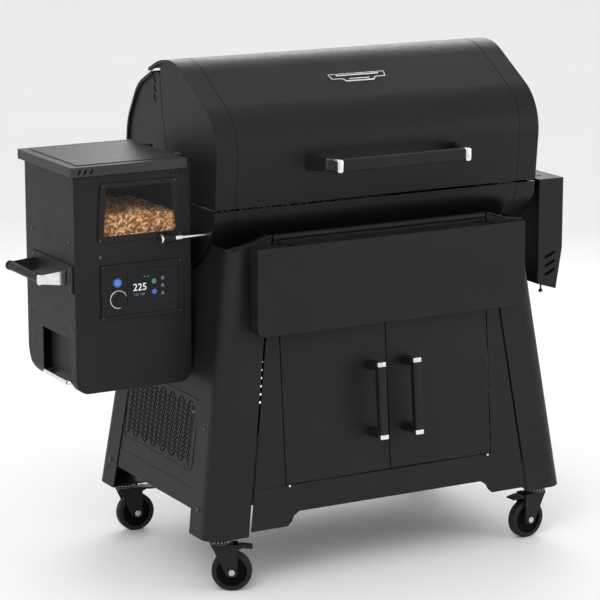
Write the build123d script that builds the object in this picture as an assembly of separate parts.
from build123d import *
import os
from math import atan, cos, degrees, hypot, radians, sin

# Pellet smoker grill on a leaning four-legged cart.  Millimetres, +Z up.
# Everything is drawn about the middle of the cart on the ground (X right, Y to the back),
# and moved at the end so that the origin is the middle of the whole grill's footprint.

# ---------------------------------------------------------------- driving sizes
SHEET = 2.5                 # steel sheet of the cart

CART_X = 562.0              # outer side plane at the ground
CART_Y = 350.0              # outer front and rear plane at the ground
SIDE_SPLAY = 0.137          # how far the sides lean in, per unit of height
FRONT_SPLAY = 0.0878        # the same for front and rear
LEG_FACE = 117.0            # width of a leg's front face at any height
LEG_FLANGE = 108.0          # width of a leg's side flange
LEG_CORNER = 45.0           # rounded outer corner of a leg
LEG_BOTTOM = 145.0
LEG_TOP_OUT = 878.0
LEG_TOP_IN = 906.0
REAR_LEG_TOP = 790.0        # the rear legs stop lower, under the bulge of the barrel
FRAME_GAP = 6.0             # see-through gap between leg and front frame
FRAME_TOP = 893.0
TIE_Z0, TIE_Z1 = 835.0, 865.0  # strip that ties the front frame to the legs
LEG_RETURN = 14.0           # inner edge of a front leg, folded back
VENT_Y0, VENT_Y1, VENT_Z0, VENT_Z1 = -184.0, 190.0, 313.0, 469.0
VENT_COLUMNS = 14
VENT_ROWS = 13

BARREL_LENGTH = 966.0
BARREL_X = 32.0             # middle of the barrel
BARREL_SHEET = 3.0
CAP_WIDTH = 60.0            # end cap band, each end
RIM = 8.0                   # rolled rim of the end caps
LID_BOTTOM = 972.0
BODY_TOP = 966.0
BARREL_FLOOR = 778.0
AXIS_Y = 50.0               # middle of the barrel, front to back

HOPPER_WIDTH = 322.0
HOPPER_GAP = 39.0           # least gap between the hopper and the barrel's end
HOPPER_Y0 = -150.0
HOPPER_Y1 = 151.0
HOPPER_Z0 = 524.0
HOPPER_Z1 = 1094.0
COVER_TOP = 704.0           # top of the hopper's lower cover
HOPPER_SHEET = 2.0
FUNNEL_TOP = 915.0
FUNNEL_BOTTOM = 848.0
PELLET_TOP = 968.0
DRAWER_Y0, DRAWER_Y1, DRAWER_Z0, DRAWER_Z1 = -118.0, 54.0, 532.0, 660.0
PANEL_Z0, PANEL_Z1 = 709.0, 849.0
HANDLE_Z = 820.0            # side handle

LID_HANDLE_HALF = 198.0
LID_HANDLE_Y = -322.0
LID_HANDLE_Z = 1080.0
LID_HANDLE_DEPTH = 26.0
LID_HANDLE_HEIGHT = 32.0
LID_HANDLE_SPREAD = 30.0    # how far each arm leans out on its way to the lid

WHEEL_R = 52.0
WHEEL_WIDTH = 26.0
CASTER_X = 482.0
CASTER_Y = 286.0
CASTER_TRAIL = 30.0
LEVER_PIVOT = (36.0, 112.0)

DOOR_HALF = 310.0
DOOR_Z0 = 266.0
DOOR_Z1 = 656.0
DOOR_THICK = 20.0
DOOR_GAP = 3.0              # round the doors
PIN_INSET = 9.0             # door hinge pins, in from the door's edge
PIN_DEPTH = 5.0             # and back from its face

SHELF_HALF = 399.0
SHELF_Z0 = 664.0
SHELF_Z1 = 890.0
SHELF_Y = -341.0
SHELF_DEPTH = 38.0
SHELF_PIVOT = (-322.0, 876.0)

SIDE_SHELF_WIDTH = 77.0
SIDE_SHELF_Y0 = -200.0
SIDE_SHELF_Y1 = 260.0
SIDE_SHELF_Z0 = 660.0
SIDE_SHELF_Z1 = 966.0

# ---------------------------------------------------------------- derived places
BARREL_X0 = BARREL_X - BARREL_LENGTH / 2
BARREL_X1 = BARREL_X + BARREL_LENGTH / 2
LEAN = degrees(atan(FRONT_SPLAY))
TILT = degrees(atan(SIDE_SPLAY))
LID_AXIS = (181.0, 1297.0)
AUGER_Z = 822.0
ROD_Y = -167.0
ROD_Z = 905.0
GRATE_Z = 950.0
TRAY_Z = 884.0
WALL_LEAN = 0.0926          # how far the lid's front wall leans, per unit of height

HOPPER_X1 = min(BARREL_X0 - HOPPER_GAP, SIDE_SPLAY * HOPPER_Z0 - CART_X)
HOPPER_X0 = HOPPER_X1 - HOPPER_WIDTH
WINDOW = [(HOPPER_X0 + x, z) for x, z in ((78, 922), (280, 922), (266, 1045), (89, 1045))]
WINDOW_FRAME = [(HOPPER_X0 + x, z) for x, z in ((63, 907), (297, 907), (284, 1057), (72, 1057))]
PANEL_X0 = HOPPER_X0 + 70
PANEL_X1 = HOPPER_X0 + 295
BUTTON = (HOPPER_X0 + 115, 802.0)
KNOB = (HOPPER_X0 + 116, 760.0)
LID_PIVOT = (HOPPER_X1 - 4.0, HOPPER_Z1 + 10.0)
HANDLE_X = HOPPER_X0 - 68.0
DRAWER_X0 = HOPPER_X0 + 22.0
AUGER_X0 = HOPPER_X0 + 92.0
AUGER_X1 = BARREL_X - 20.0
FEED_X = HOPPER_X0 + 162.0  # middle of the funnel's mouth
PLATE_X0 = BARREL_X - 110.0
ROD_X0 = BARREL_X0 - 95.0

SIDE_SHELF_X0 = max(BARREL_X1 + 22.0, CART_X - SIDE_SPLAY * SIDE_SHELF_Z0 + 20.0)
SIDE_SHELF_X1 = SIDE_SHELF_X0 + SIDE_SHELF_WIDTH
SIDE_SHELF_PIVOT = (SIDE_SHELF_X0 + 15.0, 948.0)

CASTERS = {
    "front_left": (-1, -1, -29.0),
    "front_right": (1, -1, 185.0),
    "rear_left": (-1, 1, -5.0),
    "rear_right": (1, 1, 160.0),
}
FORK_INNER = WHEEL_WIDTH / 2 + 5.0

nodes = {}


# ---------------------------------------------------------------- shape helpers
def box(x0, x1, y0, y1, z0, z1):
    return Pos((x0 + x1) / 2, (y0 + y1) / 2, (z0 + z1) / 2) * Box(x1 - x0, y1 - y0, z1 - z0)


def rod_x(r, x0, x1, y, z):
    return Pos((x0 + x1) / 2, y, z) * Rot(0, 90, 0) * Cylinder(r, abs(x1 - x0))


def rod_y(r, x, y0, y1, z):
    return Pos(x, (y0 + y1) / 2, z) * Rot(90, 0, 0) * Cylinder(r, abs(y1 - y0))


def rod_z(r, x, y, z0, z1):
    return Pos(x, y, (z0 + z1) / 2) * Cylinder(r, abs(z1 - z0))


def along_x(face, x0, x1):
    """Extrude an outline drawn in (y, z) between two x values."""
    return extrude(Plane.YZ.offset(x0) * face, amount=x1 - x0)


def along_y(face, y0, y1):
    """Extrude an outline drawn in (x, z) between two y values."""
    return extrude(Plane.XZ.offset(-y1) * face, amount=y1 - y0)


def along_z(face, z0, z1):
    return extrude(Plane.XY.offset(z0) * face, amount=z1 - z0)


def shape(points):
    return make_face(Polyline(*points, close=True))


def pattern(locations, slot):
    """One sketch made of a slot repeated at each location."""
    return Sketch() + [place * slot for place in locations]


def mirror_x(part):
    return mirror(part, about=Plane.YZ)


def mirror_y(part):
    return mirror(part, about=Plane.XZ)


def side_offset(points, distance):
    """Move an open chain of points to its left by a distance, keeping it parallel."""
    lines = []
    for (ay, az), (by, bz) in zip(points, points[1:]):
        length = hypot(by - ay, bz - az)
        ny, nz = -(bz - az) / length, (by - ay) / length
        lines.append(((ay + ny * distance, az + nz * distance), (by - ay, bz - az)))
    moved = [lines[0][0]]
    for (p, d), (q, e) in zip(lines, lines[1:]):
        cross = d[0] * e[1] - d[1] * e[0]
        t = ((q[0] - p[0]) * e[1] - (q[1] - p[1]) * e[0]) / cross
        moved.append((p[0] + d[0] * t, p[1] + d[1] * t))
    last, direction = lines[-1]
    moved.append((last[0] + direction[0], last[1] + direction[1]))
    return moved


def chain(points, radii):
    if len(points) == 2:
        return Polyline(*points)
    return FilletPolyline(*points, radius=list(radii))


def band(points, radii, thickness):
    """A sheet of even thickness whose outer face follows a chain; the sheet lies to its left."""
    inner = side_offset(points, thickness)
    outer_line = chain(points, radii)
    inner_line = chain(inner, [r - thickness for r in radii])
    ends = Line(points[0], inner[0]) + Line(points[-1], inner[-1])
    return make_face(outer_line + inner_line + ends)


def filled(points, radii, closing):
    """The area between a chain and the closing points that lead back to its start."""
    back = Polyline(points[-1], *closing, points[0])
    return make_face(chain(points, radii) + back)


# ---------------------------------------------------------------- barrel outline, in (y, z)
lid_corner = (-230.0, 1181.0)
# The lid is listed from its rear lip over the top to the front edge, so its inside is on the left.
LID_LINE = [
    (168.0, 1290.0),
    (95.0, 1322.0),
    (5.0, 1324.6),
    lid_corner,
    (-211.0, LID_BOTTOM),
]
LID_RADII = [200.0, 150.0, 140.0]
# The body is listed from its front edge under the floor and up to the top of the rear hood.
BODY_LINE = [
    (-209.0, BODY_TOP),
    (-206.0, 930.0),
    (-128.0, 838.0),
    (-45.0, BARREL_FLOOR),
    (145.0, BARREL_FLOOR),
    (228.0, 838.0),
    (306.0, 930.0),
    (310.0, 1060.0),
    (300.0, 1140.0),
    (235.0, 1243.0),
    (150.0, 1284.0),
]
BODY_RADII = [50.0, 90.0, 90.0, 90.0, 90.0, 50.0, 300.0, 150.0, 120.0]
HOOD_START = (308.15, 1000.0)
# The seam in both end faces, between the lid and the fixed rear part.
SEAM_LINE = [(108.0, 1274.0), (95.0, 1171.0), (70.0, 1084.0), (60.0, LID_BOTTOM)]


def behind_seam(gap):
    line = [(y + gap, z) for y, z in SEAM_LINE]
    return shape([(line[0][0], 1400), *line, (line[-1][0], 700), (600, 700), (600, 1400)])


def lid_area(inset):
    line = side_offset(LID_LINE, inset)
    radii = [r - inset for r in LID_RADII]
    return filled(line, radii, [(60.0, LID_BOTTOM), (150.0, 1270.0)])


def body_area(inset):
    line = side_offset(BODY_LINE, inset)
    radii = [r - inset for r in BODY_RADII]
    front = SEAM_LINE[-1][0]
    return filled(line, radii, [(front, line[-1][1]), (front, BODY_TOP)])


# ---------------------------------------------------------------- barrel body
def build_lower_barrel():
    line = BODY_LINE[:7] + [HOOD_START]
    sheet = band(line, BODY_RADII[:6], BARREL_SHEET)
    x0, x1 = BARREL_X0 + CAP_WIDTH, BARREL_X1 - CAP_WIDTH
    part = along_x(sheet, x0, x1)
    inside = along_x(body_area(1.0), x0, x1)
    ledges = box(x0, x1, -212, -190, GRATE_Z - 4, GRATE_Z) + box(x0, x1, 290, 312, GRATE_Z - 4, GRATE_Z)
    ledges += box(x0, x1, -180, -150, TRAY_Z - 3, TRAY_Z) + box(x0, x1, 250, 280, TRAY_Z - 3, TRAY_Z)
    part += ledges & inside
    return part - rod_z(30, BARREL_X, AXIS_Y, 700, 790)


def build_rear_hood():
    line = [HOOD_START] + BODY_LINE[7:]
    x0, x1 = BARREL_X0 + CAP_WIDTH, BARREL_X1 - CAP_WIDTH
    part = along_x(band(line, BODY_RADII[6:], BARREL_SHEET), x0, x1)
    slots = [
        box(BARREL_X + i * 60 - 22, BARREL_X + i * 60 + 22, 250, 330, 1060, 1068)
        + box(BARREL_X + i * 60 - 22, BARREL_X + i * 60 + 22, 250, 330, 1080, 1088)
        for i in range(-5, 6)
    ]
    part -= Compound(children=slots)
    for side in (-1, 1):
        x = BARREL_X + side * 330
        ay, az = LID_AXIS
        for lug in (x - 16, x + 16):
            web = shape([(ay - 6, az), (ay + 6, az), (ay + 14, az - 34), (ay - 6, az - 26)])
            part += along_x(web, lug - 5, lug + 5) + rod_x(7, lug - 5, lug + 5, ay, az)
        part += rod_x(3, x - 21, x + 21, ay, az)
    return part


def build_barrel_end(side):
    """Fixed end cap: a band, a rolled rim and the plate below and behind the seam."""
    width = CAP_WIDTH - 0.6
    part = along_x(band(BODY_LINE, BODY_RADII, BARREL_SHEET), 0, width)
    part += along_x(band(BODY_LINE, BODY_RADII, RIM), 0, 10)
    plate = along_x(body_area(1.0) & behind_or_below(), 6, 9)
    part += plate
    for y, z in ((140, 1262), (140, 1238), (142, 1214)):
        slot = Pos(y, z) * Rot(0, 0, 65) * SlotOverall(20, 8)
        part -= along_x(slot, -1, 12)
    part = Pos(BARREL_X0, 0, 0) * part
    if side == "left":
        part -= rod_x(25.2, BARREL_X0 - 5, BARREL_X0 + 20, AXIS_Y, AUGER_Z)
        part += rod_x(12, BARREL_X0 + 0.5, BARREL_X0 + 8, ROD_Y + 2, ROD_Z + 1)
        part -= rod_x(5.5, BARREL_X0 - 5, BARREL_X0 + 20, ROD_Y, ROD_Z)
        return part
    return mirror(part, about=Plane.YZ.offset(BARREL_X)) + side_shelf_bracket()


def behind_or_below():
    below = shape([(-400, 600), (500, 600), (500, BODY_TOP), (-400, BODY_TOP)])
    return behind_seam(BARREL_SHEET) + below


def side_shelf_bracket():
    """Two lugs on the right end cap that carry the folding side shelf's pivots."""
    part = box(BARREL_X1 - 7, BARREL_X1 + 4, -150, 210, 905, 960)
    for y in (-150, 206):
        part += box(BARREL_X1, SIDE_SHELF_PIVOT[0] + 8, y, y + 4, 925, 960)
    for y0, y1 in ((-157, -150), (210, 217)):
        part += rod_y(4, SIDE_SHELF_PIVOT[0], y0, y1, SIDE_SHELF_PIVOT[1])
    return part


# ---------------------------------------------------------------- lid
def build_lid_shell():
    x0, x1 = BARREL_X0 + CAP_WIDTH, BARREL_X1 - CAP_WIDTH
    part = along_x(band(LID_LINE, LID_RADII, BARREL_SHEET), x0, x1)
    ay, az = LID_AXIS
    for side in (-1, 1):
        x = BARREL_X + side * 330
        strap = shape([(148, 1298.5), (168, 1289), (ay, az - 7), (ay, az + 7), (165, 1300)])
        knuckle = along_x(strap, x - 10, x + 10) + rod_x(7, x - 10, x + 10, ay, az)
        part += knuckle - rod_x(3.06, x - 20, x + 20, ay, az)
    return part


def build_lid_end(side):
    width = CAP_WIDTH - 0.6
    part = along_x(band(LID_LINE, LID_RADII, BARREL_SHEET), 0, width)
    part += along_x(band(LID_LINE, LID_RADII, RIM), 0, 10)
    part += along_x(lid_area(1.0) - behind_seam(0), 6, 9)
    part = Pos(BARREL_X0, 0, 0) * part
    if side == "left":
        return part
    return mirror(part, about=Plane.YZ.offset(BARREL_X))


def build_lid_handle_grip():
    outline = Pos(LID_HANDLE_Y, LID_HANDLE_Z) * RectangleRounded(LID_HANDLE_DEPTH, LID_HANDLE_HEIGHT, 7)
    return along_x(outline, BARREL_X - LID_HANDLE_HALF, BARREL_X + LID_HANDLE_HALF)


def build_lid_handle_bracket(side):
    """An arm from the back of the grip to the lid's front wall, taller and farther out at the wall."""
    back = LID_HANDLE_Y + LID_HANDLE_DEPTH / 2
    x = BARREL_X + side * (LID_HANDLE_HALF - 8)
    wall_x = x + side * LID_HANDLE_SPREAD
    across = Plane(origin=(0, back, 0), x_dir=(1, 0, 0), z_dir=(0, -1, 0))
    at_grip = across * Pos(x, LID_HANDLE_Z) * Rectangle(14, LID_HANDLE_HEIGHT - 4)
    inside = -210 - back
    at_wall = across.offset(-inside) * Pos(wall_x, LID_HANDLE_Z - 7) * Rectangle(14, LID_HANDLE_HEIGHT + 6)
    arm = loft([at_grip, at_wall])
    return arm - along_x(lid_area(0), wall_x - 200, wall_x + 200)


# ---------------------------------------------------------------- inside the barrel
def slotted_plate(width, depth, slots, slot_width, rows=2, edge=8):
    """A flat plate with rows of long slots, drawn about the origin."""
    plate = Rectangle(width, depth)
    pitch = (width - 2 * edge) / slots
    slot_length = (depth - edge * (rows + 1)) / rows
    places = GridLocations(pitch, slot_length + edge, slots, rows)
    return plate - pattern(places, Rectangle(slot_width, slot_length))


def build_grate(x0, x1):
    y0, y1 = -196.0, 296.0
    plate = slotted_plate(x1 - x0, y1 - y0, 26, 11.0)
    return Pos((x0 + x1) / 2, (y0 + y1) / 2, GRATE_Z) * extrude(plate, amount=6)


def build_upper_rack():
    x0, x1, y0, y1 = BARREL_X0 + 40, BARREL_X1 - 40, 20.0, 210.0
    plate = slotted_plate(x1 - x0, y1 - y0, 56, 9.0, rows=1)
    part = Pos((x0 + x1) / 2, (y0 + y1) / 2, 1110) * extrude(plate, amount=5)
    for x in (x0 + 4, x1 - 4):
        for y in (y0 + 4, y1 - 4):
            part += rod_z(4, x, y, GRATE_Z + 6, 1112)
    return part


def build_drip_tray():
    x0, x1, y0, y1 = BARREL_X0 + 62, BARREL_X1 - 62, -156.0, 256.0
    part = box(x0, x1, y0, y1, TRAY_Z, TRAY_Z + 2.5)
    for y in (y0, y1 - 2.5):
        part += box(x0, x1, y, y + 2.5, TRAY_Z, TRAY_Z + 14)
    slots = pattern(GridLocations(14, 60, 9, 3), SlotOverall(50, 7, rotation=90))
    return part - Pos(BARREL_X, AXIS_Y, TRAY_Z - 5) * extrude(slots, amount=20)


def build_fire_pot():
    part = rod_z(60, BARREL_X, AXIS_Y, BARREL_FLOOR + 3, 868)
    part -= rod_z(57, BARREL_X, AXIS_Y, BARREL_FLOOR + 6, 900)
    part -= rod_x(25.2, BARREL_X - 80, BARREL_X, AXIS_Y, AUGER_Z)
    holes = [
        Pos(BARREL_X, AXIS_Y, 850) * Rot(0, 0, a) * Pos(58, 0, 0) * Rot(0, 90, 0) * Cylinder(3, 20)
        for a in range(0, 360, 30)
    ]
    return part - Compound(children=holes)


def build_auger_tube():
    part = rod_x(25, AUGER_X0, BARREL_X - 50, AXIS_Y, AUGER_Z)
    part -= rod_x(22.5, AUGER_X0 - 1, BARREL_X - 40, AXIS_Y, AUGER_Z)
    part -= box(FEED_X - 30, FEED_X + 30, AXIS_Y - 20, AXIS_Y + 20, AUGER_Z + 10, AUGER_Z + 40)
    motor = box(AUGER_X0 - 50, AUGER_X0, AXIS_Y - 32, AXIS_Y + 32, AUGER_Z - 32, AUGER_Z + 32)
    return part + motor - rod_x(7.5, AUGER_X0 - 10, AUGER_X0 + 5, AXIS_Y, AUGER_Z)


def build_auger():
    part = rod_x(7, AUGER_X0 - 9, AUGER_X1, AXIS_Y, AUGER_Z)
    count = 18
    pitch = (AUGER_X1 - AUGER_X0 - 40) / (count - 1)
    for i in range(count):
        part += Pos(AUGER_X0 + 15 + i * pitch, AXIS_Y, AUGER_Z) * Rot(0, 78, 0) * Cylinder(20.5, 2.5)
    return part


def build_broiler_plate():
    plate = box(PLATE_X0, BARREL_X + 110, -60, 160, TRAY_Z + 3, TRAY_Z + 5.5)
    slots = pattern(GridLocations(28, 60, 5, 3), SlotOverall(50, 7, rotation=90))
    return plate - Pos(BARREL_X + 7, AXIS_Y, TRAY_Z) * extrude(slots, amount=20)


def build_broiler_rod():
    part = rod_x(4.5, ROD_X0, PLATE_X0 + 10, ROD_Y, ROD_Z)
    part += box(PLATE_X0, PLATE_X0 + 14, ROD_Y - 6, -40, ROD_Z - 6, ROD_Z + 6)
    part += box(PLATE_X0, PLATE_X0 + 14, -58, -40, TRAY_Z + 5.5, ROD_Z)
    part += rod_x(7.5, ROD_X0 + 3, ROD_X0 + 22, ROD_Y, ROD_Z)
    knob = rod_x(10.5, ROD_X0 - 38, ROD_X0 + 3, ROD_Y, ROD_Z)
    return part + fillet(knob.edges().filter_by(GeomType.CIRCLE), 3)


# ---------------------------------------------------------------- cart
front_plane = Plane(
    origin=(0, -CART_Y, 0), x_dir=(1, 0, 0), z_dir=(0, -cos(radians(LEAN)), sin(radians(LEAN)))
)
side_plane = Plane(
    origin=(-CART_X, 0, 0), x_dir=(0, -1, 0), z_dir=(-cos(radians(TILT)), 0, sin(radians(TILT)))
)


def on_front(points, n0, n1):
    """A plate in the leaning front plane from (x, height) points, between two depths."""
    flat = shape([(x, z / cos(radians(LEAN))) for x, z in points])
    return extrude(front_plane.offset(n0) * flat, amount=n1 - n0)


def on_side(points, n0, n1):
    """A plate in the leaning left side plane from (y, height) points, between two depths."""
    flat = shape([(-y, z / cos(radians(TILT))) for y, z in points])
    return extrude(side_plane.offset(n0) * flat, amount=n1 - n0)


def front_box(x0, x1, z0, z1, n0, n1):
    return on_front([(x0, z0), (x1, z0), (x1, z1), (x0, z1)], n0, n1)


def half_x(z):
    """Outer half width of the cart at a height."""
    return CART_X - SIDE_SPLAY * z


def half_y(z):
    return CART_Y - FRONT_SPLAY * z


def frame_half(z):
    """Half width of the front frame, clear of the legs' inner edges."""
    return half_x(z) - LEG_FACE - FRAME_GAP


def build_leg(returned):
    """Left leg: a rounded angle section that leans both ways, with foot and caster plates."""
    z0 = LEG_BOTTOM
    x, y = -half_x(z0), -half_y(z0)
    line = [(x + LEG_FACE, y), (x, y), (x, y + LEG_FLANGE)]
    outer = FilletPolyline(*line, radius=LEG_CORNER)
    inner_line = side_offset(line, -SHEET)
    inner = FilletPolyline(*inner_line, radius=LEG_CORNER - SHEET)
    section = make_face(outer + inner + Line(line[0], inner_line[0]) + Line(line[-1], inner_line[-1]))
    rise = Vector(SIDE_SPLAY, FRONT_SPLAY, 1)
    height = 780.0
    leg = extrude(Plane.XY.offset(z0) * section, amount=rise.length * height, dir=rise)
    if returned:
        edge = Pos(x + LEG_FACE - SHEET / 2, y + LEG_RETURN / 2) * Rectangle(SHEET, LEG_RETURN)
        leg += extrude(Plane.XY.offset(z0) * edge, amount=rise.length * (TIE_Z0 - 8 - z0), dir=rise)
    xo, xi = -half_x(LEG_TOP_OUT) - 20, -half_x(LEG_TOP_IN) + LEG_FACE
    knee = (-half_x(890) + 62, 888.0)
    top = [(xo, LEG_TOP_OUT - 3), (-half_x(LEG_TOP_OUT), LEG_TOP_OUT), knee, (xi, LEG_TOP_IN)]
    leg -= along_y(shape([*top, (xi + 60, LEG_TOP_IN + 20), (xi + 60, 1200), (xo, 1200)]), -400, 0)
    ledge = make_face(
        Polyline(*top[1:]) + Polyline(*[(px, pz - SHEET) for px, pz in top[1:]])
        + Line(top[1], (top[1][0], top[1][1] - SHEET)) + Line(top[3], (top[3][0], top[3][1] - SHEET))
    )
    depth = half_y(LEG_TOP_IN)
    cap = along_y(ledge, -depth + 1.2, -depth + 30)
    cap &= along_z(Rectangle(2 * half_x(LEG_TOP_OUT) - 22, 2000), 700, 1000)
    leg += cap
    foot = Pos(x + LEG_FACE / 2, y + LEG_FLANGE / 2, z0 + 2) * Box(LEG_FACE - 6, LEG_FLANGE - 6, 4)
    corner = Pos(x, y, z0) * rod_z(30, 0, 0, -5, 10)
    leg += foot - corner
    leg += box(-CASTER_X - 42, -CASTER_X + 42, -CASTER_Y - 36, -CASTER_Y + 36, z0 - 5, z0)
    leg += rod_z(26, -CASTER_X, -CASTER_Y, z0 - 12, z0 - 4)
    leg += rod_z(7, -CASTER_X, -CASTER_Y, z0 - 24, z0 - 4)
    return leg


def build_front_frame():
    foot, step, mid = 157.0, 276.0, 192.0
    left = [(-frame_half(foot), foot), (-312, foot), (-300, 167), (-292, 182), (-step, mid)]
    right = [(-px, pz) for px, pz in reversed(left)]
    top = [(frame_half(FRAME_TOP), FRAME_TOP), (-frame_half(FRAME_TOP), FRAME_TOP)]
    part = on_front([*left, *right, *top], -SHEET, 0)
    gap = DOOR_GAP
    part -= front_box(-DOOR_HALF - gap, DOOR_HALF + gap, DOOR_Z0 - gap, DOOR_Z1 + gap, -10, 10)
    groove = front_box(DOOR_HALF + gap + 1, CART_X, DOOR_Z0 - gap, DOOR_Z0 - gap + 1.2, -0.8, 1)
    part -= groove + mirror_x(groove)
    rail_y, rail_z = -half_y(FRAME_TOP) + 10, FRAME_TOP + 6
    rail = Pos(rail_y, rail_z) * RectangleRounded(24, 16, 7.5)
    part += along_x(rail, -frame_half(FRAME_TOP), frame_half(FRAME_TOP))
    tie_half = frame_half(TIE_Z1) + 70
    part += front_box(-tie_half, tie_half, TIE_Z0, TIE_Z1, -2 * SHEET, -SHEET)
    for side in (-1, 1):
        x = side * 300
        py, pz = SHELF_PIVOT
        foot = [(-half_y(870) + 4, 862), (-half_y(892) + 4, 892)]
        lug = shape(foot + [(py, pz + 9), (py - 9, pz), (py, pz - 9)])
        part += along_x(lug, x - 3, x + 3)
        part += rod_x(4, x, x + side * 12, py, pz)
    for side in (-1, 1):
        x = side * (DOOR_HALF - PIN_INSET)
        for z in (DOOR_Z0 - 6, DOOR_Z1 + 1.5):
            part += front_box(x - 10, x + 10, z, z + 4.5, -18, -PIN_DEPTH + 3)
        for z in (DOOR_Z0, DOOR_Z1):
            part += door_pin(x, z, 2.5, 14)
    return part


def door_pin(x, z, radius, length):
    centre = Pos(x, z / cos(radians(LEAN)), -PIN_DEPTH)
    return front_plane * (centre * Rot(90, 0, 0) * Cylinder(radius, length))


def build_door(side):
    x0, x1 = 1.5, DOOR_HALF
    part = front_box(x0, x1, DOOR_Z0, DOOR_Z1, -DOOR_THICK, 0)
    part -= front_box(x0 + 2, x1 - 2, DOOR_Z0 + 2, DOOR_Z1 - 2, -DOOR_THICK - 1, -2)
    x = DOOR_HALF - PIN_INSET
    for z0, z1 in ((DOOR_Z0, DOOR_Z0 + 12), (DOOR_Z1 - 12, DOOR_Z1)):
        part += front_box(x - 8, DOOR_HALF - 1, z0, z1, -18, -1)
        part -= door_pin(x, (z0 + z1) / 2, 2.56, 30)
    if side == "left":
        return mirror_x(part)
    return part


def build_door_handle(side):
    x, z0, z1 = 53.0, 360.0, 560.0
    bar_n0, bar_n1 = 52.0, 70.0
    bar = front_box(x - 12, x + 12, z0, z1, bar_n0, bar_n1)
    upright = bar.edges().filter_by(lambda edge: edge.length > (z1 - z0) - 1)
    part = fillet(upright.sort_by(Axis.Y)[:2], 5)
    for z in (z0 + 2, z1 - 22):
        part += front_box(x - 11, x + 11, z, z + 20, 0, bar_n0)
    if side == "left":
        return mirror_x(part)
    return part


def build_side_panel():
    """Left side panel: herringbone vent, cut to clear the barrel above it."""
    seam_half = 241.8 + 20
    low, high = 207.0, 868.0
    edge = [(seam_half - FRONT_SPLAY * z, z) for z in (low, high)]
    outline = [(-edge[0][0], low), (edge[0][0], low), (edge[1][0], high), (-edge[1][0], high)]
    part = on_side(outline, -2 * SHEET, -SHEET)
    part -= along_x(body_area(-8.0), -700, 0)
    return part - side_vent() - side_slots()


def side_vent():
    """Herringbone slots: columns that lean one way and the other in turn."""
    pitch_y = (VENT_Y1 - VENT_Y0) / VENT_COLUMNS
    pitch_z = (VENT_Z1 - VENT_Z0) / VENT_ROWS
    slots = []
    for column in range(VENT_COLUMNS):
        lean = 45 if column % 2 else -45
        for row in range(VENT_ROWS):
            y = VENT_Y0 + pitch_y * (column + 0.5)
            z = VENT_Z0 + pitch_z * (row + 0.5)
            slots.append(Pos(-y, z / cos(radians(TILT))) * Rot(0, 0, lean) * SlotOverall(30, 4.5))
    flat = Sketch() + slots
    return extrude(side_plane.offset(-12) * flat, amount=20)


def side_slots():
    slots = pattern([Pos(228, z) * Rot(0, 0, 60) for z in (722, 748, 774)], SlotOverall(26, 7))
    return extrude(side_plane.offset(-12) * slots, amount=20)


def build_rear_panel():
    low, high = 207.0, REAR_LEG_TOP - 2
    reach = LEG_FACE - 20
    outline = [
        (-half_x(low) + reach, low),
        (half_x(low) - reach, low),
        (half_x(high) - reach, high),
        (-half_x(high) + reach, high),
    ]
    part = on_front(outline, -2 * SHEET, -SHEET)
    slots = pattern(GridLocations(60, 24, 9, 6), SlotOverall(44, 8))
    part -= extrude(front_plane.offset(-12) * (Pos(0, 360) * slots), amount=20)
    return mirror_y(part)


def build_cabinet_floor():
    z = 226.0
    x, y = half_x(z) - 2 * SHEET - 0.8, half_y(z) - 2 * SHEET - 0.6
    part = along_z(RectangleRounded(2 * x, 2 * y, LEG_CORNER + 4), z - 1.5, z + 1.5)
    inner = half_x(z) - LEG_FACE
    notch = box(inner - 1, inner + SHEET + 1, -half_y(z), -half_y(z) + LEG_RETURN + 1, z - 5, z + 5)
    return part - notch - mirror_x(notch)


def build_cross_beams():
    """Two beams from side panel to side panel that the barrel sits on, joined by a tie."""
    z0, z1 = 740.0, BARREL_FLOOR
    part = box(-600, 600, -35, -5, z0, z1) + box(-600, 600, 105, 135, z0, z1)
    part += box(-200, -170, -35, 135, z0, z0 + 20) + box(230, 260, -35, 135, z0, z0 + 20)
    inset = 2 * SHEET + 0.05
    ends = [(-half_x(z) + inset, z) for z in (z0 - 5, z1 + 5)]
    clear = shape([*ends, (-ends[1][0], z1 + 5), (-ends[0][0], z0 - 5)])
    return part & along_y(clear, -100, 200)


# ---------------------------------------------------------------- hopper
def front_outline(x0, x1, z0, z1, bottom_r, top_r):
    outline = Pos((x0 + x1) / 2, (z0 + z1) / 2) * Rectangle(x1 - x0, z1 - z0)
    corners = outline.vertices().group_by(Axis.Y)
    outline = fillet(corners[0], bottom_r)
    return fillet(outline.vertices().group_by(Axis.Y)[-1], top_r)


def rounded(points, radius):
    outline = shape(points)
    return fillet(outline.vertices(), radius)


def build_hopper_front():
    face = front_outline(HOPPER_X0, HOPPER_X1, HOPPER_Z0, HOPPER_Z1, 34, 3)
    face -= rounded(WINDOW, 8)
    face -= front_outline(PANEL_X0 + 9, PANEL_X1 - 9, PANEL_Z0 + 9, PANEL_Z1 - 9, 6, 6)
    part = along_y(face, HOPPER_Y0, HOPPER_Y0 + HOPPER_SHEET)
    places = [Pos(HOPPER_X0 + 196 + 24 * i, 556) * Rot(0, 0, 55) for i in range(5)]
    grooves = pattern(places, SlotOverall(32, 4))
    part -= along_y(grooves, HOPPER_Y0 - 1, HOPPER_Y0 + HOPPER_SHEET / 2)
    holes = pattern([Pos(HOPPER_X0 + 268 + 13 * i, 1068) for i in range(4)], Circle(1.8))
    return part - along_y(holes, HOPPER_Y0 - 1, HOPPER_Y0 + HOPPER_SHEET + 1)


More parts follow.
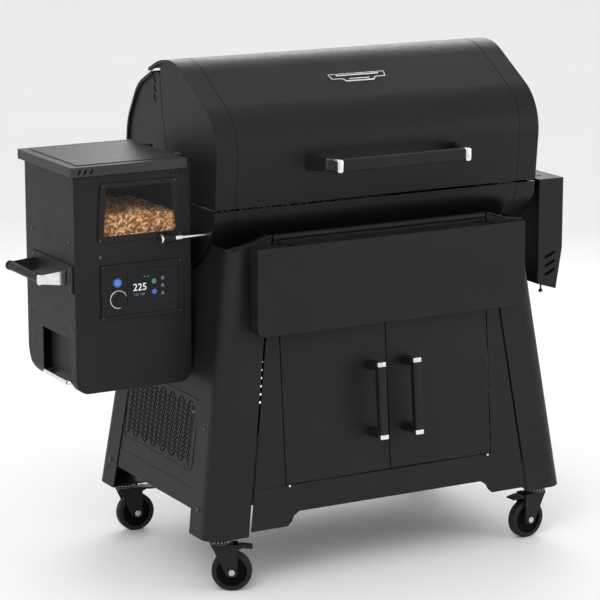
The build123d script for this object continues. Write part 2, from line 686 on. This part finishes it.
def funnel(inset, z0, z1):
    """The inside of the hopper's funnel between two heights, made smaller by an inset."""
    wall = HOPPER_SHEET + inset
    cx, cy = (HOPPER_X0 + HOPPER_X1) / 2, (HOPPER_Y0 + HOPPER_Y1) / 2

    def level(z):
        t = (z - FUNNEL_BOTTOM) / (FUNNEL_TOP - FUNNEL_BOTTOM)
        width = 50 + t * (HOPPER_X1 - HOPPER_X0 - 2 * HOPPER_SHEET - 50) - 2 * inset
        depth = 36 + t * (HOPPER_Y1 - HOPPER_Y0 - 2 * HOPPER_SHEET - 36) - 2 * inset
        x = FEED_X + t * (cx - FEED_X)
        y = AXIS_Y + t * (cy - AXIS_Y)
        return Pos(x, y, z) * Rectangle(width, depth)

    return loft([level(z0), level(z1)])


def build_hopper_shell():
    y0 = HOPPER_Y0 + HOPPER_SHEET
    part = box(HOPPER_X0, HOPPER_X1, y0, HOPPER_Y1, COVER_TOP, HOPPER_Z1)
    part -= box(
        HOPPER_X0 + HOPPER_SHEET, HOPPER_X1 - HOPPER_SHEET,
        y0 - 1, HOPPER_Y1 - HOPPER_SHEET, COVER_TOP - 1, HOPPER_Z1 + 1,
    )
    block = box(
        HOPPER_X0 + 1, HOPPER_X1 - 1, y0, HOPPER_Y1 - 1, FUNNEL_BOTTOM, FUNNEL_TOP
    )
    skin = funnel(-HOPPER_SHEET, FUNNEL_BOTTOM, FUNNEL_TOP) & block
    part += skin
    part -= funnel(0, FUNNEL_BOTTOM - 0.5, FUNNEL_TOP + 0.5)
    part -= box(AUGER_X0 - 40, HOPPER_X1 + 5, AXIS_Y - 27, AXIS_Y + 27, AUGER_Z - 27, AUGER_Z + 25.5)
    part += neck()
    return part


def neck():
    """Short duct that closes the space between hopper and barrel round the auger tube."""
    x0, x1 = HOPPER_X1 - HOPPER_SHEET, BARREL_X0 + 5.5
    duct = box(x0, x1, AXIS_Y - 40, AXIS_Y + 40, AUGER_Z - 35, AUGER_Z + 38)
    return duct - box(x0 - 1, x1 + 1, AXIS_Y - 36, AXIS_Y + 36, AUGER_Z - 32, AUGER_Z + 34)


def build_lower_cover():
    """Wrap-round cover below the hopper with a rounded rear edge and a chute opening on the left."""
    y0 = HOPPER_Y0 + HOPPER_SHEET
    profile = shape([(y0, HOPPER_Z0), (HOPPER_Y1, HOPPER_Z0), (HOPPER_Y1, COVER_TOP), (y0, COVER_TOP)])
    rear = profile.vertices().sort_by(Axis.X)[-2:].sort_by(Axis.Y)[0]
    outer = along_x(fillet(rear, 80), HOPPER_X0, HOPPER_X1)
    inner_profile = shape([
        (y0 - 1, HOPPER_Z0 + 3), (HOPPER_Y1 - 3, HOPPER_Z0 + 3), (HOPPER_Y1 - 3, 720), (y0 - 1, 720),
    ])
    inner_rear = inner_profile.vertices().sort_by(Axis.X)[-2:].sort_by(Axis.Y)[0]
    inner = along_x(fillet(inner_rear, 77), HOPPER_X0 + 3, HOPPER_X1 - 3)
    outer &= along_y(front_outline(HOPPER_X0, HOPPER_X1, HOPPER_Z0, HOPPER_Z1, 34, 3), -400, 400)
    inner &= along_y(front_outline(HOPPER_X0 + 3, HOPPER_X1 - 3, HOPPER_Z0 + 3, HOPPER_Z1, 31, 3), -400, 400)
    part = outer - inner
    part -= box(HOPPER_X0 - 5, HOPPER_X0 + 40, DRAWER_Y0 - 2, DRAWER_Y1 + 2, HOPPER_Z0 - 5, DRAWER_Z1 + 2)
    return part - cover_louvres()


def cover_louvres():
    slots = pattern([Pos(HOPPER_X0 + 222 + 22 * i, -60) for i in range(3)], SlotOverall(60, 6, rotation=90))
    return along_z(slots, HOPPER_Z0 - 10, HOPPER_Z0 + 20)


def build_cleanout_drawer():
    x0, x1 = DRAWER_X0, DRAWER_X0 + 170
    part = box(x0, x1, DRAWER_Y0, DRAWER_Y1, DRAWER_Z0, DRAWER_Z1)
    part -= box(x0 + 2, x1 - 2, DRAWER_Y0 + 2, DRAWER_Y1 - 2, DRAWER_Z0 + 2, DRAWER_Z1 + 1)
    z = DRAWER_Z0 + 16
    part += rod_y(5, x0 - 26, DRAWER_Y0 + 12, DRAWER_Y1 - 12, z)
    for y in (DRAWER_Y0 + 17, DRAWER_Y1 - 17):
        part += rod_x(5, x0 - 26, x0 + 1, y, z)
    return part


def build_window_bezel():
    face = rounded(WINDOW_FRAME, 8) - rounded(WINDOW, 8)
    part = along_y(face, HOPPER_Y0 - 4, HOPPER_Y0)
    return part


def build_window_glass():
    inset = 0.4
    (ax, az), (bx, bz), (cx, cz), (dx, dz) = WINDOW
    face = rounded([
        (ax + inset, az + inset), (bx - inset, bz + inset),
        (cx - inset, cz - inset), (dx + inset, dz - inset),
    ], 7.6)
    return along_y(face, HOPPER_Y0 - 2, HOPPER_Y0 + 1.5)


def build_pellets():
    gap = HOPPER_SHEET + 1.0
    heap = box(
        HOPPER_X0 + gap, HOPPER_X1 - gap, HOPPER_Y0 + gap + 1, HOPPER_Y1 - gap, FUNNEL_TOP + 0.5, PELLET_TOP
    )
    return heap + funnel(1.5, FUNNEL_BOTTOM + 4, FUNNEL_TOP + 0.5)


def build_control_panel():
    """Framed face plate with its electronics box behind; holes for the button and the knob."""
    face = front_outline(PANEL_X0, PANEL_X1, PANEL_Z0, PANEL_Z1, 5, 5)
    part = along_y(face, HOPPER_Y0 - 5, HOPPER_Y0)
    part += box(PANEL_X0 + 12, PANEL_X1 - 12, HOPPER_Y0 - 1, HOPPER_Y0 + 42, PANEL_Z0 + 12, PANEL_Z1 - 12)
    recess = front_outline(PANEL_X0 + 8, PANEL_X1 - 8, PANEL_Z0 + 8, PANEL_Z1 - 8, 5, 5)
    part -= along_y(recess, HOPPER_Y0 - 6, HOPPER_Y0 - 2)
    part -= rod_y(9.5, BUTTON[0], HOPPER_Y0 - 10, HOPPER_Y0 + 12, BUTTON[1])
    return part - rod_y(5.5, KNOB[0], HOPPER_Y0 - 10, HOPPER_Y0 + 16, KNOB[1])


def build_power_button():
    cap = rod_y(9, BUTTON[0], HOPPER_Y0 - 6, HOPPER_Y0 + 8, BUTTON[1])
    front = cap.edges().filter_by(GeomType.CIRCLE).sort_by(Axis.Y)[0]
    return fillet(front, 1.5)


def build_control_knob():
    knob = rod_y(20, KNOB[0], HOPPER_Y0 - 17, HOPPER_Y0 - 3, KNOB[1])
    front = knob.edges().filter_by(GeomType.CIRCLE).sort_by(Axis.Y)[0]
    knob = fillet(front, 3)
    pointer = box(KNOB[0] - 1, KNOB[0] + 1, HOPPER_Y0 - 18, HOPPER_Y0 - 13, KNOB[1] + 8, KNOB[1] + 15)
    return knob + rod_y(5, KNOB[0], HOPPER_Y0 - 4, HOPPER_Y0 + 14, KNOB[1]) + pointer


def build_hopper_lid():
    x0, x1, y0, y1 = HOPPER_X0 - 9, HOPPER_X1 - 12, HOPPER_Y0 - 9, HOPPER_Y1 + 28
    z0, z1 = HOPPER_Z1 - 14, HOPPER_Z1 + 10
    part = box(x0, x1, y0, y1, z0, z1)
    part -= box(x0 + 3, x1 + 1, y0 + 3, y1 - 3, z0 - 1, HOPPER_Z1 + 6)
    part += box(x0 + 26, x1 - 10, y0 + 24, y1 - 24, z1 - 1, z1 + 2)
    part = fillet(part.edges().filter_by(Axis.Z).group_by(Axis.X)[0], 6)
    places = [Pos(x0 + 22 + 17 * i, HOPPER_Z1 - 3) * Rot(0, 0, 60) for i in range(3)]
    slots = pattern(places, SlotOverall(14, 5))
    part -= along_y(slots, y0 - 1, y0 + 4)
    px, pz = LID_PIVOT
    for y in (-95.0, 85.0):
        leaf = box(x1 - 34, px, y - 10, y + 10, z1 - 1, z1 + 2.5) + rod_y(4, px, y - 10, y + 10, pz)
        part += leaf - rod_y(2.06, px, y - 30, y + 30, pz)
    return part


def hopper_hinge_lugs():
    """Fixed knuckles and pins of the hopper lid, on the right wall."""
    px, pz = LID_PIVOT
    lugs = None
    for y in (-95.0, 85.0):
        piece = rod_y(2, px, y - 21, y + 21, pz)
        for y0 in (y - 21, y + 11):
            piece += rod_y(4, px, y0, y0 + 10, pz)
            piece += box(px - 3, px + 4, y0, y0 + 10, HOPPER_Z1 - 20, pz)
        lugs = piece if lugs is None else lugs + piece
    return lugs


def build_side_handle_bracket():
    x0 = HOPPER_X0 - 4
    part = box(x0, HOPPER_X0, -142, 108, 783, 854)
    for y0 in (-104, 92):
        arm = shape([(HANDLE_X - 10, 811), (HANDLE_X - 10, 829), (x0 + 1, 836), (x0 + 1, 801)])
        part += along_y(arm, y0, y0 + 5)
    return part


def build_side_handle_grip():
    return rod_y(11, HANDLE_X, -99, 92, HANDLE_Z)


# ---------------------------------------------------------------- shelves
def build_front_shelf():
    """Folding front shelf, hanging down: a tray shape whose outer face becomes the top."""
    face = front_outline(-SHELF_HALF, SHELF_HALF, SHELF_Z0, SHELF_Z1, 22, 4)
    inner = front_outline(
        -SHELF_HALF + SHEET, SHELF_HALF - SHEET, SHELF_Z0 + SHEET, SHELF_Z1 - SHEET, 19.5, 2
    )
    part = along_y(face, SHELF_Y, SHELF_Y + SHELF_DEPTH) - along_y(inner, SHELF_Y + SHEET, 0)
    py, pz = SHELF_PIVOT
    for side in (-1, 1):
        x = side * 307.5
        rib = box(x - 3, x + 3, SHELF_Y + 1, SHELF_Y + SHELF_DEPTH - 4, pz - 30, SHELF_Z1 - 1)
        part += rib - rod_x(4.06, x - 20, x + 20, py, pz)
    part -= box(-306, -294, SHELF_Y + SHEET, 0, SHELF_Z1 - 40, SHELF_Z1 + 1)
    part -= box(294, 306, SHELF_Y + SHEET, 0, SHELF_Z1 - 40, SHELF_Z1 + 1)
    return part


def build_side_shelf():
    """Folding side shelf, hanging down beside the barrel's right end."""
    flange = shape([
        (SIDE_SHELF_X0, SIDE_SHELF_Z0 + 18),
        (SIDE_SHELF_X1 - 18, SIDE_SHELF_Z0),
        (SIDE_SHELF_X1, SIDE_SHELF_Z0 + 112),
        (SIDE_SHELF_X1, SIDE_SHELF_Z1),
        (SIDE_SHELF_X0, SIDE_SHELF_Z1),
    ])
    part = along_y(flange, SIDE_SHELF_Y0, SIDE_SHELF_Y1)
    hollow = shape([
        (SIDE_SHELF_X0 - 1, SIDE_SHELF_Z0 + 21),
        (SIDE_SHELF_X1 - 20, SIDE_SHELF_Z0 + 3),
        (SIDE_SHELF_X1 - SHEET, SIDE_SHELF_Z0 + 112),
        (SIDE_SHELF_X1 - SHEET, SIDE_SHELF_Z1 - SHEET),
        (SIDE_SHELF_X0 - 1, SIDE_SHELF_Z1 - SHEET),
    ])
    part -= along_y(hollow, SIDE_SHELF_Y0 + SHEET, SIDE_SHELF_Y1 - SHEET)
    places = [Pos(SIDE_SHELF_X0 + 38, z) * Rot(0, 0, 25) for z in (756, 732, 708)]
    slots = pattern(places, SlotOverall(36, 9))
    part -= along_y(slots, SIDE_SHELF_Y0 - 5, SIDE_SHELF_Y0 + 5)
    for y in (-152, 204):
        part -= box(SIDE_SHELF_X0 - 1, SIDE_SHELF_X0 + 40, y, y + 8, 940, SIDE_SHELF_Z1 + 1)
    px, pz = SIDE_SHELF_PIVOT
    for y in (-156.4, 212.0):
        rib = box(px - 9, SIDE_SHELF_X1 - 1, y, y + 4.4, pz - 14, SIDE_SHELF_Z1 - 1)
        part += rib - rod_y(4.06, px, y - 5, y + 10, pz)
    return part


# ---------------------------------------------------------------- casters
def build_fork():
    """Swivel fork about its own vertical axis at the origin, trailing along +X."""
    top = LEG_BOTTOM - 12.5
    part = rod_z(26, 0, 0, top - 10, top) - rod_z(7.06, 0, 0, top - 20, top + 1)
    bore = rod_z(7.06, 0, 0, top - 20, top + 1)
    part += box(-22, 34, -FORK_INNER - 3, FORK_INNER + 3, top - 13, top - 8) - bore
    cheek = shape([
        (-22, top - 8), (46, top - 8), (CASTER_TRAIL + 15, WHEEL_R - 8),
        (CASTER_TRAIL, WHEEL_R - 14), (CASTER_TRAIL - 15, WHEEL_R - 8),
    ])
    for y in (-FORK_INNER - 3, FORK_INNER):
        part += along_y(cheek, y, y + 3)
    part += rod_y(2, LEVER_PIVOT[0], -FORK_INNER - 1, FORK_INNER + 1, LEVER_PIVOT[1])
    return part + rod_y(5, CASTER_TRAIL, -FORK_INNER - 6, FORK_INNER + 6, WHEEL_R)


def build_wheel():
    half = WHEEL_WIDTH / 2
    wheel = rod_y(WHEEL_R, CASTER_TRAIL, -half, half, WHEEL_R)
    wheel = fillet(wheel.edges().filter_by(GeomType.CIRCLE), 5)
    recess = rod_y(WHEEL_R - 12, CASTER_TRAIL, -half - 1, -half + 6, WHEEL_R)
    hub = rod_y(14, CASTER_TRAIL, -half - 2.5, half + 2.5, WHEEL_R)
    wheel -= recess + Pos(0, WHEEL_WIDTH - 5, 0) * recess
    wheel += hub
    holes = [
        Pos(CASTER_TRAIL, 0, WHEEL_R) * Rot(0, a, 0) * Pos(27, 0, 0) * Rot(90, 0, 0) * Cylinder(6, 60)
        for a in range(0, 360, 72)
    ]
    wheel -= Compound(children=holes)
    return wheel - rod_y(5.06, CASTER_TRAIL, -30, 30, WHEEL_R)


def build_lever():
    """Brake pedal over the wheel, hinged between the fork's cheeks."""
    x, z = LEVER_PIVOT
    pedal = shape([
        (x - 8, z - 3), (x - 8, z + 5), (x + 20, z + 10), (x + 46, z + 6), (x + 48, z + 2),
        (x + 22, z + 4), (x + 6, z - 4),
    ])
    half = FORK_INNER - 1
    return along_y(pedal, -half, half) - rod_y(2.06, x, -half - 3, half + 3, z)


# ---------------------------------------------------------------- assemble
def build_all():
    leg = build_leg(True)
    nodes["leg_front_left"] = leg
    nodes["leg_front_right"] = mirror_x(leg)
    rear_leg = mirror_y(build_leg(False)) - box(-700, 0, 0, 500, REAR_LEG_TOP, 1000)
    nodes["leg_rear_left"] = rear_leg
    nodes["leg_rear_right"] = mirror_x(rear_leg)
    panel = build_side_panel()
    nodes["side_panel_left"] = panel
    nodes["side_panel_right"] = mirror_x(panel)
    nodes["front_frame"] = build_front_frame()
    nodes["rear_panel"] = build_rear_panel()
    nodes["cabinet_floor"] = build_cabinet_floor()
    nodes["cross_beams"] = build_cross_beams()
    nodes["lower_barrel"] = build_lower_barrel()
    nodes["rear_hood"] = build_rear_hood()
    nodes["barrel_end_left"] = build_barrel_end("left")
    nodes["barrel_end_right"] = build_barrel_end("right")
    nodes["cooking_grate_left"] = build_grate(BARREL_X0 + 10, BARREL_X - 1)
    nodes["cooking_grate_right"] = build_grate(BARREL_X + 1, BARREL_X1 - 10)
    nodes["upper_rack"] = build_upper_rack()
    nodes["drip_tray"] = build_drip_tray()
    nodes["fire_pot"] = build_fire_pot()
    nodes["auger_tube"] = build_auger_tube()
    nodes["auger"] = build_auger()
    nodes["broiler_plate"] = build_broiler_plate()
    nodes["broiler_rod"] = build_broiler_rod()
    nodes["lid_shell"] = build_lid_shell()
    nodes["lid_end_left"] = build_lid_end("left")
    nodes["lid_end_right"] = build_lid_end("right")
    nodes["lid_handle_grip"] = build_lid_handle_grip()
    nodes["lid_handle_bracket_left"] = build_lid_handle_bracket(-1)
    nodes["lid_handle_bracket_right"] = build_lid_handle_bracket(1)
    nodes["hopper_shell"] = build_hopper_shell() + hopper_hinge_lugs()
    nodes["hopper_front"] = build_hopper_front()
    nodes["lower_cover"] = build_lower_cover()
    nodes["hopper_lid"] = build_hopper_lid()
    nodes["window_bezel"] = build_window_bezel()
    nodes["window_glass"] = build_window_glass()
    nodes["pellets"] = build_pellets()
    nodes["control_panel"] = build_control_panel()
    nodes["power_button"] = build_power_button()
    nodes["control_knob"] = build_control_knob()
    nodes["side_handle_bracket"] = build_side_handle_bracket()
    nodes["side_handle_grip"] = build_side_handle_grip()
    nodes["cleanout_drawer"] = build_cleanout_drawer()
    for side in ("left", "right"):
        nodes["door_" + side] = build_door(side)
        nodes["door_handle_" + side] = build_door_handle(side)
    nodes["front_shelf"] = build_front_shelf()
    nodes["side_shelf"] = build_side_shelf()
    fork, wheel, lever = build_fork(), build_wheel(), build_lever()
    for place, (sx, sy, turn) in CASTERS.items():
        stand = Pos(sx * CASTER_X, sy * CASTER_Y, 0) * Rot(0, 0, turn)
        nodes["fork_" + place] = stand * fork
        nodes["wheel_" + place] = stand * wheel
        nodes["brake_" + place] = stand * lever


def whole_box():
    boxes = [part.bounding_box() for part in nodes.values()]
    low = Vector(*(min(getattr(b.min, a) for b in boxes) for a in "XYZ"))
    high = Vector(*(max(getattr(b.max, a) for b in boxes) for a in "XYZ"))
    return low, high


build_all()
low, high = whole_box()
shift = Pos(-(low.X + high.X) / 2, -(low.Y + high.Y) / 2, -low.Z)
print("moved by", shift.position, "size", high - low)
os.makedirs("parts", exist_ok=True)
for name, part in nodes.items():
    export_step(shift * part, f"parts/{name}.step")
